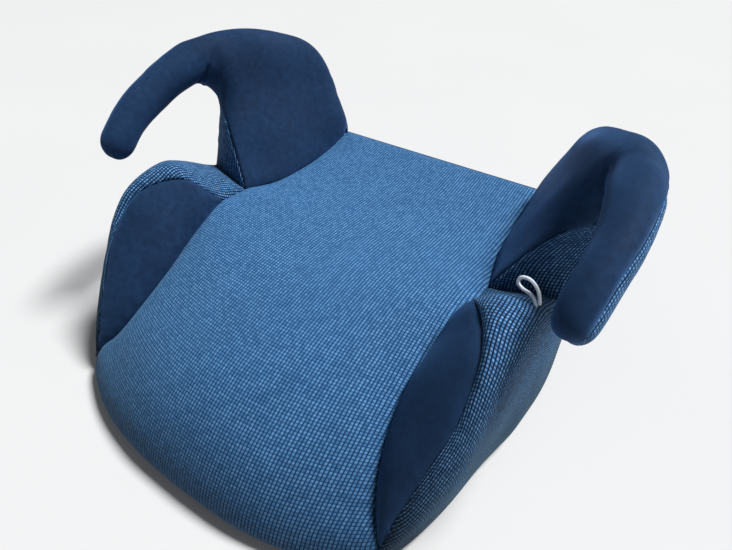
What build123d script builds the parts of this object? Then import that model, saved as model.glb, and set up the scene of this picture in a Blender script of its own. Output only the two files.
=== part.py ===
"""Backless booster seat: a foam block with two hooked armrests under a sewn, foam-backed cover.

Units are millimetres. The origin is the middle of the footprint on the floor, +Z is up, the seat
faces -Y, and left means the sitter's left, which is +X.
"""

import math
import os

from build123d import *

os.makedirs("parts", exist_ok=True)

# Overall
HALF_DEPTH = 195.0  # front edge to back edge is twice this
TOP = 240.0  # above everything

# Cover and padding
COVER = 3.0  # fabric with its foam backing
PAD = 8.0  # loose wadding under the seat panel

# Seat surface from the rear edge to the front edge: (y, z) on the centre line, (y, z) beside the
# bolsters, and the slope there in degrees
SEAT_PROFILE = (
    (196, 105, 196, 105, 4),
    (140, 98, 140, 98, 4),
    (85, 95, 85, 95, -2),
    (10, 102, 10, 104, 4),
    (-45, 99, -45, 94, 14),
    (-100, 88, -90, 73, 28),
    (-145, 69, -122, 48, 42),
    (-180, 40, -148, 22, 54),
    (-194, 14, -169, 2, 62),
    (-196, -14, -178, -14, 72),
)
SEAT_STATIONS = (-200, -130, 0, 130, 200)

# Plan (x, y) of the wadding, and the height its front edge stops at
PAD_PLAN = (
    (-112, 184),
    (112, 184),
    (110, 40),
    (104, -60),
    (112, -110),
    (-112, -110),
    (-104, -60),
    (-110, 40),
)
PAD_FLOOR = 30.0

# Bolster from the armrest's foot to the front: y, then (x, z) of the seat seam, of the crest's
# inner edge and of the crest's outer edge
BOLSTER_STATIONS = (
    (40, (133, 98), (135, 101), (178, 112)),
    (10, (131, 103), (133, 108), (182, 130)),
    (-18, (127, 100), (143, 138), (185, 141)),
    (-45, (124, 93), (160, 139), (184, 142)),
    (-68, (123, 83), (169, 125), (180, 130)),
    (-95, (126, 67), (167, 84), (176, 94)),
    (-120, (133, 50), (158, 52), (170, 56)),
    (-146, (148, 24), (152, 26), (160, 28)),
)
SHOULDER_DROP = 14.0  # the crest rolls over into the side wall within this height
BOLSTER_WALL = 200.0  # beyond the plan outline, which trims it

# Plan outline of the block: (x, y) with the corner's radius
PLAN = (
    (176, 195, 18),
    (195, 110, 60),
    (193, 10, 60),
    (172, -112, 50),
    (150, -172, 30),
    (95, -186, 90),
    (0, -201.5, 300),
)

# Armrest: the leaning plate in side view (y, z, corner radius), and in front view (x, z, radius)
PLATE_SIDE = (
    (191, 88, 0),
    (191, 196, 22),
    (158, 219, 30),
    (90, 236, 60),
    (44, 222, 12),
    (66, 166, 16),
    (38, 88, 0),
)
PLATE_FRONT = (
    (113, 88, 0),
    (160, 150, 70),
    (184, 232, 24),
    (212, 238, 18),
    (231, 200, 20),
    (199, 152, 30),
    (192, 88, 0),
)
# Armrest in plan (x, y, radius): its outer face tapers in towards the back
PLATE_PLAN = (
    (100, 196, 0),
    (176, 191, 14),
    (196, 158, 60),
    (231, 96, 60),
    (231, 20, 0),
    (100, 20, 0),
)

# Hooked horn: its centre line runs forward from the plate and turns down at the tip
HORN_RADIUS = 19.0
HORN_ROUTE = ((205, 92, 211), (212, 40, 200), (211, -4, 185), (209, -32, 169))
HORN_BENDS = (60, 40)

# Reinforcing bar, bent from the left horn down through the block and up into the right horn
BAR_RADIUS = 4.0
BAR_FIT = 0.2
BAR_BEND = 24.0
BAR_ROUTE = ((210, -18, 177), (211, 40, 199), (199, 98, 200), (158, 112, 110), (150, 112, 45))

# Underside hem and the small loop at the left bolster
HEM = 2.4
HEM_WIDTH = 34.0
LOOP_DIAMETER = 2.4
LOOP_ROUTE = (
    (181.5, 3.0, 136.5),
    (180.2, 3.8, 143.0),
    (176.0, 4.6, 149.5),
    (170.0, 5.2, 153.0),
    (164.0, 5.6, 151.0),
    (163.0, 5.4, 145.5),
    (167.5, 4.4, 142.6),
    (173.5, 3.2, 142.6),
    (178.0, 1.6, 140.0),
    (180.0, 0.6, 135.0),
)


def inset_profile(station_x, inset):
    """Seat surface points at one x, moved inwards along the surface's normal."""
    share = min(abs(station_x) / 130, 1)
    points = []
    for mid_y, mid_z, edge_y, edge_z, slope in SEAT_PROFILE:
        y = mid_y + (edge_y - mid_y) * share**2
        z = mid_z + (edge_z - mid_z) * share**2
        lean = math.radians(slope)
        points.append((y + inset * math.sin(lean), z - inset * math.cos(lean)))
    return points


def rounded_face(corners, inset=0.0):
    """Closed outline from (a, b, radius) corners, moved inwards by the inset."""
    with BuildSketch() as outline:
        with BuildLine():
            Polyline(*[(a, b) for a, b, radius in corners], close=True)
        make_face()
        for a, b, radius in corners:
            if radius:
                corner = outline.vertices().sort_by_distance((a, b))[0]
                fillet(corner, radius)
        if inset:
            offset(amount=-inset, kind=Kind.INTERSECTION)
    return outline.sketch


def plan_corners():
    """Plan outline corners, right half then left half, in one turn."""
    front = PLAN[-1:]
    half = list(PLAN[:-1])
    return half + list(front) + [(-x, y, radius) for x, y, radius in reversed(half)]


def seat_block(inset):
    """The seat's crowned top and front roll as a block, before its plan outline is cut."""
    with BuildPart() as block:
        for x in SEAT_STATIONS:
            with BuildSketch(Plane.YZ.offset(x)):
                points = inset_profile(x, inset)
                with BuildLine():
                    Spline(*points)
                    Polyline(points[-1], (points[-1][0], -30), (points[0][0], -30), points[0])
                make_face()
        loft()
    return block.part


def body_block(inset, floor):
    """Seat and both bolsters as one block, inset from the cover's outer face."""
    with BuildPart() as block:
        add(seat_block(inset))
        for side in (1, -1):
            for y, seam, inner, outer in BOLSTER_STATIONS:
                section = (
                    (seam[0] + inset, -30),
                    (seam[0] + inset, seam[1] - inset),
                    (inner[0] + inset, inner[1] - inset),
                    (outer[0] - inset / 2, outer[1] - inset),
                    (BOLSTER_WALL, outer[1] - SHOULDER_DROP - inset),
                    (BOLSTER_WALL, -30),
                )
                with BuildSketch(Plane.XZ.offset(-y)):
                    with BuildLine():
                        Polyline(*[(side * x, z) for x, z in section], close=True)
                    make_face()
            loft(ruled=True)
        with BuildSketch(Plane.XY.offset(floor)):
            add(rounded_face(plan_corners(), inset))
        extrude(amount=TOP, mode=Mode.INTERSECT)
    return block.part


def arm_block(inset):
    """Left armrest as one block: the leaning plate with the horn running forward from it."""
    with BuildPart() as arm:
        with BuildSketch(Plane.YZ.offset(90)):
            add(rounded_face(PLATE_SIDE, inset))
        extrude(amount=160)
        with BuildSketch(Plane.XZ.offset(-220)):
            add(rounded_face(PLATE_FRONT, inset))
        extrude(amount=220, mode=Mode.INTERSECT)
        with BuildSketch(Plane.XY.offset(80)):
            add(rounded_face(PLATE_PLAN, inset))
        extrude(amount=TOP, mode=Mode.INTERSECT)
        with BuildLine() as route:
            FilletPolyline(*HORN_ROUTE, radius=HORN_BENDS)
        with BuildSketch(Plane(origin=route.line @ 0, z_dir=route.line % 0)):
            Circle(HORN_RADIUS - inset)
        sweep(path=route.line)
        with Locations(HORN_ROUTE[0], HORN_ROUTE[-1]):
            Sphere(HORN_RADIUS - inset)
    return arm.part


def plan_prism(corners, side=1):
    """Upright prism over (x, y) corners, mirrored to the right side when side is -1."""
    with BuildPart() as prism:
        with BuildSketch(Plane.XY.offset(-1)):
            with BuildLine():
                Polyline(*[(side * x, y) for x, y in corners], close=True)
            make_face()
        extrude(amount=TOP + 1)
    return prism.part


def profile_prism(plane, corners, reach):
    """Prism over corners drawn on a vertical plane, reaching both ways from it."""
    with BuildPart() as prism:
        with BuildSketch(plane):
            with BuildLine():
                Polyline(*corners, close=True)
            make_face()
        extrude(amount=reach, both=True)
    return prism.part


def write(piece, name):
    """Label one finished piece and write its file."""
    piece.part.label = name
    export_step(piece.part, f"parts/{name}.step")
    print(name, round(piece.part.volume / 1000, 1), "cm3", len(piece.part.solids()), "solid")


# Seams in plan from the back to the front: the seat panel's edge, and the inset's two edges
SEAM_FOOT = ((124, 200), (122, 120), (127, 65))
SEAM_FRONT = ((160, -172), (162, -220))
FRONT_STATIONS = [station for station in BOLSTER_STATIONS if station[0] <= 10]
seat_seam = [*SEAM_FOOT, *[(seam[0], y) for y, seam, inner, outer in BOLSTER_STATIONS], *SEAM_FRONT]
inset_edge = [(seam[0] - 10, y) for y, seam, inner, outer in FRONT_STATIONS]
crest_edge = [(inner[0], y) for y, seam, inner, outer in FRONT_STATIONS]

# Front view (x, z) of the edge where the armrest's inner and outer covers meet
ARM_EDGE = ((186, 80), (192, 152), (224, 196), (224, TOP))
ARM_OUTSIDE = ((260, TOP), (260, 80))
# Side view (y, z) of the throat gusset, on the plate's front edge below the horn
GUSSET = ((20, 80), (43, 88), (66, 158), (66, 169), (20, 169))
# Plan (x, y) outside which the tapered back part of the armrest has its outer cover, up to a height
TAPER = ((168, 200), (172, 189), (190, 158), (224, 97), (260, 97), (260, 200))
TAPER_TOP = 196.0
BACK_FOLD = HALF_DEPTH - COVER

body_outer = body_block(0, 0)
body_inner = body_block(COVER, HEM)
arm_outer = arm_block(0)
arm_inner = arm_block(COVER)
arms_outer = {1: arm_outer, -1: arm_outer.mirror(Plane.YZ)}
arms_inner = {1: arm_inner, -1: arm_inner.mirror(Plane.YZ)}
SIDES = {1: "left", -1: "right"}

seat_zone = plan_prism(seat_seam + [(-x, y) for x, y in reversed(seat_seam)])
back_zone = plan_prism(((-210, 210), (210, 210), (210, BACK_FOLD), (-210, BACK_FOLD)))
gusset_zone = profile_prism(Plane.YZ, GUSSET, 260)

# Reinforcing bar and the channel it fills
with BuildPart() as reinforcement_bar:
    with BuildLine() as bar_route:
        right_route = [(-x, y, z) for x, y, z in reversed(BAR_ROUTE)]
        FilletPolyline(*BAR_ROUTE, *right_route, radius=BAR_BEND)
    with BuildSketch(Plane(origin=bar_route.line @ 0, z_dir=bar_route.line % 0)):
        Circle(BAR_RADIUS)
    sweep(path=bar_route.line)
write(reinforcement_bar, "reinforcement_bar")

with BuildPart() as bar_channel:
    with BuildSketch(Plane(origin=bar_route.line @ 0, z_dir=bar_route.line % 0)):
        Circle(BAR_RADIUS + BAR_FIT)
    sweep(path=bar_route.line)

# Seat wadding, a flat pad let into the top of the foam block
with BuildPart() as seat_pad:
    add(body_inner)
    with BuildSketch(Plane.XY.offset(-1)):
        add(rounded_face([(x, y, 0) for x, y in PAD_PLAN]))
    extrude(amount=TOP, mode=Mode.INTERSECT)
    add(seat_block(COVER + PAD), mode=Mode.SUBTRACT)
    with Locations((0, 0, PAD_FLOOR / 2)):
        Box(500, 500, PAD_FLOOR, mode=Mode.SUBTRACT)
write(seat_pad, "seat_pad")

with BuildPart() as foam_block:
    add(body_inner)
    add(seat_pad.part, mode=Mode.SUBTRACT)
    add(bar_channel.part, mode=Mode.SUBTRACT)
write(foam_block, "foam_block")

# Cover over the body: everything between its outer face and the foam, above the hem
with BuildPart() as body_cover:
    add(body_outer)
    add(body_inner, mode=Mode.SUBTRACT)
    with Locations((0, 0, HEM / 2)):
        Box(500, 500, HEM, mode=Mode.SUBTRACT)
    add(arms_outer[1], mode=Mode.SUBTRACT)
    add(arms_outer[-1], mode=Mode.SUBTRACT)

with BuildPart() as seat_panel:
    add(body_cover.part)
    add(seat_zone, mode=Mode.INTERSECT)
    add(back_zone, mode=Mode.SUBTRACT)
write(seat_panel, "seat_panel")

with BuildPart() as back_panel:
    add(body_cover.part)
    add(back_zone, mode=Mode.INTERSECT)
write(back_panel, "back_panel")

with BuildPart() as hem:
    add(body_outer)
    with Locations((0, 0, HEM + TOP / 2)):
        Box(500, 500, TOP, mode=Mode.SUBTRACT)
    with BuildSketch():
        add(rounded_face(plan_corners(), HEM_WIDTH))
    extrude(amount=HEM, mode=Mode.SUBTRACT)
write(hem, "hem")

for side, hand in SIDES.items():
    side_half = plan_prism(((60, 210), (210, 210), (210, -220), (60, -220)), side)
    inset_zone = plan_prism(inset_edge + crest_edge[::-1], side)
    with BuildPart() as arm_zone:
        add(plan_prism(TAPER, side))
        with Locations((0, 0, TAPER_TOP + TOP / 2)):
            Box(600, 600, TOP, mode=Mode.SUBTRACT)
        add(profile_prism(Plane.XZ, [(side * x, z) for x, z in ARM_EDGE + ARM_OUTSIDE], 260))

    with BuildPart() as bolster_cover:
        add(body_cover.part)
        add(side_half, mode=Mode.INTERSECT)
        add(seat_zone, mode=Mode.SUBTRACT)
        add(back_zone, mode=Mode.SUBTRACT)

    with BuildPart() as bolster_inset:
        add(bolster_cover.part)
        add(inset_zone, mode=Mode.INTERSECT)
    write(bolster_inset, f"{hand}_bolster_inset")

    with BuildPart() as side_panel:
        add(bolster_cover.part)
        add(inset_zone, mode=Mode.SUBTRACT)
    write(side_panel, f"{hand}_side_panel")

    with BuildPart() as armrest_core:
        add(arms_inner[side])
        add(body_inner, mode=Mode.SUBTRACT)
        add(bar_channel.part, mode=Mode.SUBTRACT)
    write(armrest_core, f"{hand}_armrest_core")

    with BuildPart() as arm_cover:
        add(arms_outer[side])
        add(arms_inner[side], mode=Mode.SUBTRACT)
        add(body_inner, mode=Mode.SUBTRACT)

    with BuildPart() as outer_cover:
        add(arm_cover.part)
        add(arm_zone.part, mode=Mode.INTERSECT)
    write(outer_cover, f"{hand}_armrest_outer_cover")

    with BuildPart() as gusset:
        add(arm_cover.part)
        add(arm_zone.part, mode=Mode.SUBTRACT)
        add(gusset_zone, mode=Mode.INTERSECT)
    write(gusset, f"{hand}_throat_gusset")

    with BuildPart() as inner_cover:
        add(arm_cover.part)
        add(arm_zone.part, mode=Mode.SUBTRACT)
        add(gusset_zone, mode=Mode.SUBTRACT)
    write(inner_cover, f"{hand}_armrest_inner_cover")

# Small elastic loop sewn into the seam at the rear outer corner of the left bolster's crest
loop_turns = []
for before, corner, after in zip(LOOP_ROUTE, LOOP_ROUTE[1:], LOOP_ROUTE[2:]):
    run_in = Vector(*corner) - Vector(*before)
    run_out = Vector(*after) - Vector(*corner)
    turn = math.radians(run_in.get_angle(run_out))
    loop_turns.append(0.45 * min(run_in.length, run_out.length) / math.tan(turn / 2))
print("loop radii", [round(radius, 1) for radius in loop_turns])

with BuildPart() as loop:
    with BuildLine() as loop_path:
        FilletPolyline(*LOOP_ROUTE, radius=loop_turns)
    with BuildSketch(Plane(origin=loop_path.line @ 0, z_dir=loop_path.line % 0)):
        Circle(LOOP_DIAMETER / 2)
    sweep(path=loop_path.line)
loop_length = sum(edge.length for edge in loop_path.edges())
loop_fill = loop.part.volume / (loop_length * math.pi * LOOP_DIAMETER**2 / 4)
print("loop length", round(loop_length, 1), "volume over section times length", round(loop_fill, 3))
write(loop, "loop")
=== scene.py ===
"""Booster seat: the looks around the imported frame. Nets are in millimetres, objects in metres.

The sitter's left is +X. Only the left half's nets are written out, and the right half mirrors them.
"""

import math

import bpy
import numpy as np
from mathutils import Matrix, Vector
from mathutils.bvhtree import BVHTree


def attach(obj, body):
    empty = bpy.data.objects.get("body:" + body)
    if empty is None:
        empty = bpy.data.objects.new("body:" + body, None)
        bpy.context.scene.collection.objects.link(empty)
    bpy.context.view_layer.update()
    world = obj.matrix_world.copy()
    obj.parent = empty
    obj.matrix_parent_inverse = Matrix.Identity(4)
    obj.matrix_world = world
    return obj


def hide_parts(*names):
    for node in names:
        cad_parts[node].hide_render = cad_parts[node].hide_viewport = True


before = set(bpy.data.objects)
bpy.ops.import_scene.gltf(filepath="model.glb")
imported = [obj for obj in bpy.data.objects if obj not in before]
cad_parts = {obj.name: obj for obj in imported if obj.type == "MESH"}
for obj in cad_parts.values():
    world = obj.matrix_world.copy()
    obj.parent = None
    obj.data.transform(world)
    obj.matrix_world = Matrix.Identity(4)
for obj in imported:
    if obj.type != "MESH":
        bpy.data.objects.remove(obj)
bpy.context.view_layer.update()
MM = 0.001
SPACING = 2.0

# -------------------- camera

VIEW_AZIMUTH, VIEW_ELEVATION, VIEW_ROLL = 35.33, 41.26, -1.18
VIEW_TARGET = (0.02095, 0.02903, 0.06592)
VIEW_DISTANCE = 0.4875
VIEW_LENS = 26.06


def make_camera():
    """Camera at the photograph's angle, close by, as a phone held over the seat."""
    azimuth, elevation, roll = map(math.radians, (VIEW_AZIMUTH, VIEW_ELEVATION, VIEW_ROLL))
    back = Vector((math.sin(azimuth) * math.cos(elevation), -math.cos(azimuth) * math.cos(elevation),
                   math.sin(elevation)))
    right = (-back).cross(Vector((0, 0, 1))).normalized()
    up = right.cross(-back)
    tilted_right = right * math.cos(roll) + up * math.sin(roll)
    tilted_up = up * math.cos(roll) - right * math.sin(roll)
    data = bpy.data.cameras.new("camera")
    data.lens = VIEW_LENS
    data.sensor_width = 36
    data.clip_start = 0.01
    camera = bpy.data.objects.new("camera", data)
    turn = Matrix((tilted_right, tilted_up, back)).transposed().to_4x4()
    camera.matrix_world = Matrix.Translation(Vector(VIEW_TARGET) + back * VIEW_DISTANCE) @ turn
    bpy.context.scene.collection.objects.link(camera)
    bpy.context.scene.camera = camera


# -------------------- materials


class Shader:
    """A material whose nodes are added one call at a time."""

    def __init__(self, name, **constants):
        self.material = bpy.data.materials.new(name)
        self.material.use_nodes = True
        self.tree = self.material.node_tree
        self.surface = self.tree.nodes["Principled BSDF"]
        for socket, value in constants.items():
            self.surface.inputs[socket.replace("_", " ").title()].default_value = value

    def add(self, kind, inputs=(), output=0, **settings):
        """Add a node; inputs maps a socket's name or number to a value or to another output."""
        node = self.tree.nodes.new("ShaderNode" + kind)
        for key, value in settings.items():
            setattr(node, key, value)
        for key, value in dict(inputs).items():
            self.feed(node.inputs[key], value)
        return node.outputs[output]

    def feed(self, socket, value):
        """Link an output to a socket, or set the socket's value."""
        if isinstance(value, bpy.types.NodeSocket):
            self.tree.links.new(value, socket)
        else:
            socket.default_value = value

    def math(self, operation, a, b=0.0):
        return self.add("Math", {0: a, 1: b}, operation=operation)

    def ramp(self, value, low, high, to_low=0.0, to_high=1.0):
        """Smooth step of a value from low to high."""
        return self.add("MapRange", {"Value": value, "From Min": low, "From Max": high, "To Min": to_low,
                                     "To Max": to_high}, interpolation_type="SMOOTHSTEP")

    def blend(self, share, a, b, mode="MIX"):
        """Mix two colours."""
        return self.add("Mix", {0: share, 6: a, 7: b}, output=2, data_type="RGBA", blend_type=mode)

    def noise(self, vector, scale, detail=2.0):
        return self.add("TexNoise", {"Vector": vector, "Scale": scale, "Detail": detail})

    def bump(self, height, distance, strength, below=None):
        inputs = {"Height": height, "Distance": distance, "Strength": strength}
        if below is not None:
            inputs["Normal"] = below
        return self.add("Bump", inputs)


def colour(*rgb):
    return (*rgb, 1.0)


CHECK_PITCH = 0.0027  # metres from thread to thread
CHECK_WOBBLE = 0.0007  # how far the lines stray, in metres


def check_fabric(name, line, square, bright, sheen, reach, painted_floor_shade, painted_shade_below):
    """Woven mini-check: its lit squares reach so far from their centres, and its colour is darkened towards
    the floor as painted shade.
    """
    s = Shader(name, roughness=0.8, sheen_weight=sheen, sheen_roughness=0.4)
    s.surface.inputs["Specular IOR Level"].default_value = 0.15
    s.surface.inputs["Sheen Tint"].default_value = colour(0.3, 0.65, 1.0)
    weave = s.add("UVMap", uv_map="weave")
    place = s.add("TexCoord", output=3)
    wobble = s.add("TexNoise", {"Vector": weave, "Scale": 90.0, "Detail": 1.0}, output=1)
    wobble = s.add("VectorMath", {0: wobble, 1: (0.5, 0.5, 0.5)}, operation="SUBTRACT")
    wobble = s.add("VectorMath", {0: wobble, 1: (CHECK_WOBBLE,) * 3}, operation="MULTIPLY")
    placed = s.add("VectorMath", {0: weave, 1: wobble}, operation="ADD")
    cell = s.add("VectorMath", {0: placed, 1: (1 / CHECK_PITCH,) * 3}, operation="MULTIPLY")
    part = s.add("SeparateXYZ", {0: s.add("VectorMath", {0: cell}, operation="FRACTION")}).node
    across = s.math("ABSOLUTE", s.math("SUBTRACT", part.outputs[0], 0.5))
    down = s.math("ABSOLUTE", s.math("SUBTRACT", part.outputs[1], 0.5))
    column = s.ramp(across, reach + 0.08, reach - 0.08)
    row = s.ramp(down, reach + 0.12, reach - 0.06)
    squares = s.math("MULTIPLY", column, s.math("ADD", s.math("MULTIPLY", row, 0.78), 0.22))
    whole = s.add("VectorMath", {0: cell}, operation="FLOOR")
    chance = s.add("TexWhiteNoise", {"Vector": whole})
    patchy = s.noise(place, 26.0, 3.0)
    thread = s.noise(s.add("VectorMath", {0: weave, 1: (900.0, 2600.0, 1.0)}, operation="MULTIPLY"), 1.0)
    lit = s.blend(s.math("MULTIPLY", chance, 0.75), square, bright)
    base = s.blend(squares, line, lit)
    tone = s.math("ADD", s.math("MULTIPLY", patchy, 0.24), s.math("MULTIPLY", thread, 0.5))
    tone = s.math("ADD", tone, 0.63)
    # Painted shade: the colour is multiplied down towards the floor, to the given share at height zero,
    # fading out at the given height
    height = s.add("SeparateXYZ", {0: place}).node.outputs[2]
    tone = s.math("MULTIPLY", tone, s.ramp(height, 0.0, painted_shade_below, painted_floor_shade, 1.0))
    base = s.blend(1.0, base, s.add("CombineColor", {0: tone, 1: tone, 2: tone}), "MULTIPLY")
    s.feed(s.surface.inputs["Base Color"], base)
    s.feed(s.surface.inputs["Roughness"], s.ramp(squares, 0.0, 1.0, 0.92, 0.72))
    fine = s.bump(thread, 0.00025, 0.5)
    s.feed(s.surface.inputs["Normal"], s.bump(squares, 0.0005, 0.7, fine))
    return s.material


def knit_fabric(name, dark, light, sheen):
    """Smooth brushed knit with a fine rib and a soft bloom."""
    s = Shader(name, roughness=0.82, sheen_weight=sheen, sheen_roughness=0.45)
    s.surface.inputs["Specular IOR Level"].default_value = 0.12
    s.surface.inputs["Sheen Tint"].default_value = colour(0.16, 0.42, 1.0)
    weave = s.add("UVMap", uv_map="weave")
    place = s.add("TexCoord", output=3)
    cell = s.add("VectorMath", {0: weave, 1: (5200.0, 4300.0, 1.0)}, operation="MULTIPLY")
    part = s.add("SeparateXYZ", {0: cell}).node
    rib = s.math("MULTIPLY", s.math("SINE", part.outputs[0]), s.math("SINE", part.outputs[1]))
    pile = s.noise(place, 1500.0, 2.0)
    cloudy = s.noise(place, 22.0, 3.0)
    blotchy = s.noise(place, 190.0, 2.0)
    share = s.math("ADD", s.math("MULTIPLY", cloudy, 0.55), s.math("MULTIPLY", pile, 0.35))
    share = s.math("ADD", share, s.math("MULTIPLY", s.math("SUBTRACT", blotchy, 0.5), 0.7))
    s.feed(s.surface.inputs["Base Color"], s.blend(share, dark, light))
    s.feed(s.surface.inputs["Roughness"], s.ramp(cloudy, 0.3, 0.7, 0.72, 0.86))
    fuzz = s.bump(pile, 0.0003, 0.5)
    s.feed(s.surface.inputs["Normal"], s.bump(rib, 0.00012, 0.5, fuzz))
    return s.material


def elastic(name, dark, light, scale):
    """Braided or ribbed elastic."""
    s = Shader(name, roughness=0.85, sheen_weight=0.2)
    place = s.add("TexCoord", output=3)
    rib = s.add("TexWave", {"Vector": place, "Scale": scale, "Distortion": 1.5, "Detail": 2.0},
                bands_direction="DIAGONAL")
    s.feed(s.surface.inputs["Base Color"], s.blend(rib, dark, light))
    s.feed(s.surface.inputs["Normal"], s.bump(rib, 0.0004, 0.7))
    return s.material


def bead_foam(name, dark, light, scale):
    """White moulded bead foam, or with a finer scale loose wadding."""
    s = Shader(name, roughness=0.9)
    place = s.add("TexCoord", output=3)
    beads = s.add("TexVoronoi", {"Vector": place, "Scale": scale})
    s.feed(s.surface.inputs["Base Color"], s.blend(s.ramp(beads, 0.0, 0.6), light, dark))
    s.feed(s.surface.inputs["Normal"], s.bump(s.math("SUBTRACT", 1.0, beads), 0.0006, 0.6))
    return s.material


def drawn_steel(name):
    """Drawn steel bar with fine lengthwise streaks."""
    s = Shader(name, roughness=0.35, metallic=1.0)
    place = s.add("TexCoord", output=3)
    streak = s.noise(s.add("VectorMath", {0: place, 1: (900.0, 40.0, 900.0)}, operation="MULTIPLY"), 1.0, 3.0)
    dark, light = colour(0.35, 0.36, 0.37), colour(0.62, 0.62, 0.61)
    s.feed(s.surface.inputs["Base Color"], s.blend(streak, dark, light))
    s.feed(s.surface.inputs["Roughness"], s.ramp(streak, 0.2, 0.8, 0.28, 0.5))
    return s.material


# Each check's last two numbers set its painted shade: the share of colour left at the floor, and the height
# in metres where the darkening ends
SEAT_CHECK = check_fabric(
    "seat_check", line=colour(0.009, 0.042, 0.115), square=colour(0.042, 0.15, 0.34),
    bright=colour(0.12, 0.31, 0.60), sheen=0.2, reach=0.33, painted_floor_shade=0.45, painted_shade_below=0.085)
SIDE_CHECK = check_fabric(
    "side_check", line=colour(0.004, 0.014, 0.04), square=colour(0.04, 0.14, 0.33),
    bright=colour(0.16, 0.39, 0.74), sheen=0.12, reach=0.28, painted_floor_shade=0.12, painted_shade_below=0.145)
NAVY_KNIT = knit_fabric("navy_knit", colour(0.003, 0.012, 0.036), colour(0.015, 0.048, 0.122), 0.3)
HEM_ELASTIC = elastic("hem_elastic", colour(0.006, 0.007, 0.009), colour(0.022, 0.023, 0.027), 260.0)
LOOP_ELASTIC = elastic("loop_elastic", colour(0.72, 0.82, 0.95), colour(0.9, 0.95, 1.0), 420.0)
FOAM = bead_foam("foam", colour(0.62, 0.62, 0.6), colour(0.86, 0.86, 0.84), 320.0)
WADDING = bead_foam("wadding", colour(0.7, 0.7, 0.68), colour(0.85, 0.85, 0.83), 900.0)
BAR_STEEL = drawn_steel("bar_steel")


# -------------------- surfaces from nets


def net(rows):
    return np.array(rows, float)


def through(knots, values, where):
    """Smooth curve through values at knots (Catmull-Rom tangents), read at the given places."""
    step = np.diff(knots)
    slope = np.diff(values, axis=0) / step[:, None]
    before, after = step[:-1, None], step[1:, None]
    tangent = np.empty_like(values)
    tangent[1:-1] = (slope[:-1] * after + slope[1:] * before) / (before + after)
    tangent[0], tangent[-1] = slope[0], slope[-1]
    if len(values) > 2:
        tangent[0] = 1.5 * slope[0] - 0.5 * tangent[1]
        tangent[-1] = 1.5 * slope[-1] - 0.5 * tangent[-2]
    cell = np.clip(np.searchsorted(knots, where, side="right") - 1, 0, len(knots) - 2)
    u = ((where - knots[cell]) / step[cell])[:, None]
    h = step[cell][:, None]
    return ((2 * u**3 - 3 * u**2 + 1) * values[cell] + (u**3 - 2 * u**2 + u) * h * tangent[cell]
            + (3 * u**2 - 2 * u**3) * values[cell + 1] + (u**3 - u**2) * h * tangent[cell + 1])


def steps(length):
    """How many mesh steps a length takes."""
    return int(round(length / SPACING))


def knots_of(rows):
    """Knots along a net's first axis: its mean chord lengths, added up."""
    chord = np.linalg.norm(np.diff(rows, axis=0), axis=-1).reshape(len(rows) - 1, -1).mean(axis=1)
    return np.concatenate([[0], np.cumsum(np.maximum(chord, 0.01))])


def places_between(knots):
    """Even places over the knots, which they also hit."""
    parts = [np.linspace(a, b, max(steps(b - a), 1), endpoint=False) for a, b in zip(knots[:-1], knots[1:])]
    return np.concatenate([*parts, knots[-1:]])


def lengthen(rows, knots=None, places=None):
    """Resample a net along its first axis."""
    knots = knots_of(rows) if knots is None else knots
    places = places_between(knots) if places is None else places
    return through(knots, rows.reshape(len(rows), -1), places).reshape(len(places), *rows.shape[1:])


def widen(rows):
    """Resample a net's rows along their own length."""
    return lengthen(rows.transpose(1, 0, 2)).transpose(1, 0, 2)


def lengths(line):
    """Length along a line up to each of its points."""
    return np.concatenate([[0], np.cumsum(np.linalg.norm(np.diff(line, axis=0), axis=1))])


def spread(line, shares):
    """Points of a line at the given shares of its length."""
    reach = lengths(line)
    return np.stack([np.interp(shares * reach[-1], reach, line[:, k]) for k in range(3)], axis=1)


def even_loop(points, count):
    """A closed line as evenly spaced points."""
    return spread(np.concatenate([points, points[:1]]), np.linspace(0, 1, count, endpoint=False))


def weave_of(grid, row, column):
    """Weave coordinates from the lengths along each row and column, measured from one crossing."""
    u = np.zeros(grid.shape[:2])
    v = np.zeros(grid.shape[:2])
    u[:, 1:] = np.cumsum(np.linalg.norm(np.diff(grid, axis=1), axis=-1), axis=1)
    v[1:] = np.cumsum(np.linalg.norm(np.diff(grid, axis=0), axis=-1), axis=0)
    return np.stack([u - u[:, [column]], v - v[[row]]], axis=-1)


WELD = 0.02  # points closer than this are one point


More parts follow.
